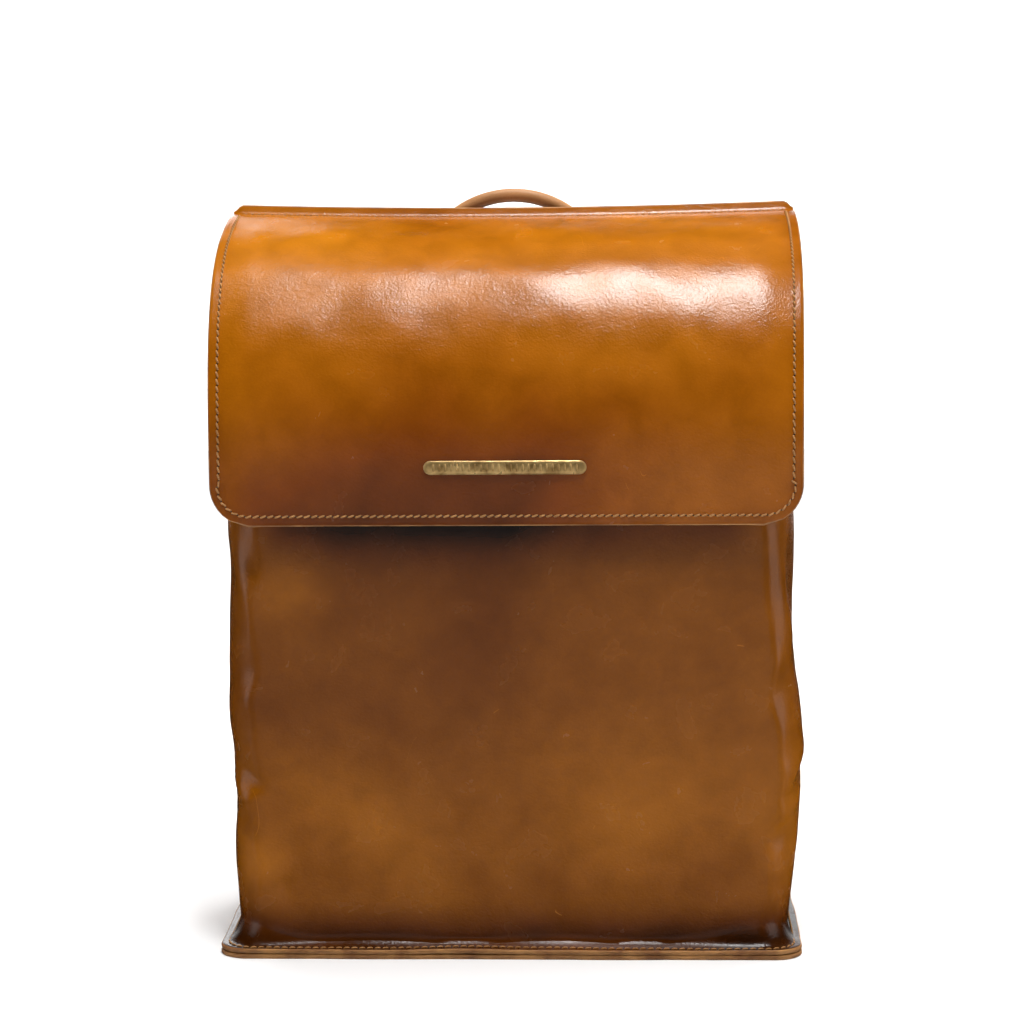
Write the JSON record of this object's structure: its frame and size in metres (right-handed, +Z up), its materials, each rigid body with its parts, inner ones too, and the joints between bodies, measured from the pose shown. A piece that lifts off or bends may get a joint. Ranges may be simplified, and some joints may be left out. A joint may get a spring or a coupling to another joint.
{
  "type": "leather backpack",
  "caption": "Boxy leather backpack with a wide fold-over flap, slim metal badge bar, turned-out base seam, rolled grab handle and padded shoulder straps.",
  "frame": {"origin": "centre of the base's underside, where the bag stands", "axes": "+Z up, the front with the flap faces -Y, +X to the right as seen from the front"},
  "size_m": [0.3, 0.1693, 0.3908],
  "materials": {
    "tan_leather": "glossy pull-up leather, smooth grain",
    "dark_leather": "glossy dark tan leather",
    "raw_leather": "matte vegetable-tanned flesh side and edges",
    "lining_fabric": "plain cotton twill",
    "board": "pressed fibre board",
    "foam": "closed-cell foam",
    "brass": "brushed antique brass",
    "thread": "waxed linen thread"
  },
  "bodies": {
    "bag": {"body_wrap": "tan_leather", "back_panel": "tan_leather", "base_panel": "tan_leather", "base_board": "board", "back_board": "board", "lining": "lining_fabric", "mouth_facing": "dark_leather", "flap_seam_strip": "tan_leather", "snap_sockets": "brass", "socket_washers": "brass", "back_yoke": "tan_leather", "handle_tabs": "tan_leather", "rivets": "brass", "strap_left": "tan_leather", "strap_foam_left": "foam", "strap_backing_left": "raw_leather", "lower_strap_left": "tan_leather", "strap_right": "tan_leather", "strap_foam_right": "foam", "strap_backing_right": "raw_leather", "lower_strap_right": "tan_leather", "ball_studs": "brass", "stud_screws": "brass", "anchor_tabs": "tan_leather", "pocket_panel": "lining_fabric", "pocket_welt": "dark_leather", "zip_tape": "lining_fabric", "zip_teeth": "brass", "zip_stops": "brass"},
    "flap": {"flap_outer": "tan_leather", "flap_lining": "raw_leather", "badge_bar": "brass", "badge_washers": "brass", "snap_studs": "brass", "stud_washers": "brass"},
    "handle": {"handle_cover": "tan_leather", "handle_core": "foam"},
    "keeper_left": {"keeper_left": "dark_leather"},
    "keeper_right": {"keeper_right": "dark_leather"},
    "zip_slider": {"zip_slider": "brass"},
    "zip_pull": {"zip_pull": "dark_leather"}
  },
  "joints": [
    {"name": "flap_hinge", "type": "hinge", "parent": "bag", "child": "flap", "pos_m": [0, 0.0468, 0.3785], "axis": [-1, 0, 0], "range_deg": [0, 130]},
    {"name": "handle_tilt", "type": "hinge", "parent": "bag", "child": "handle", "pos_m": [0, 0.0665, 0.352], "axis": [-1, 0, 0], "range_deg": [0, 75]},
    {"name": "keeper_left_slide", "type": "slide", "parent": "bag", "child": "keeper_left", "axis": [0.2966, -0.0162, 0.9549], "range_m": [-0.01, 0.012]},
    {"name": "keeper_right_slide", "type": "slide", "parent": "bag", "child": "keeper_right", "axis": [-0.2966, -0.0162, 0.9549], "range_m": [-0.01, 0.012]},
    {"name": "zip_slide", "type": "slide", "parent": "bag", "child": "zip_slider", "axis": [1, 0, 0], "range_m": [0, 0.144]},
    {"name": "zip_pull_swing", "type": "hinge", "parent": "zip_slider", "child": "zip_pull", "pos_m": [-0.071, 0.0496, 0.296], "axis": [0, 1, 0], "range_deg": [-60, 60]}
  ]
}
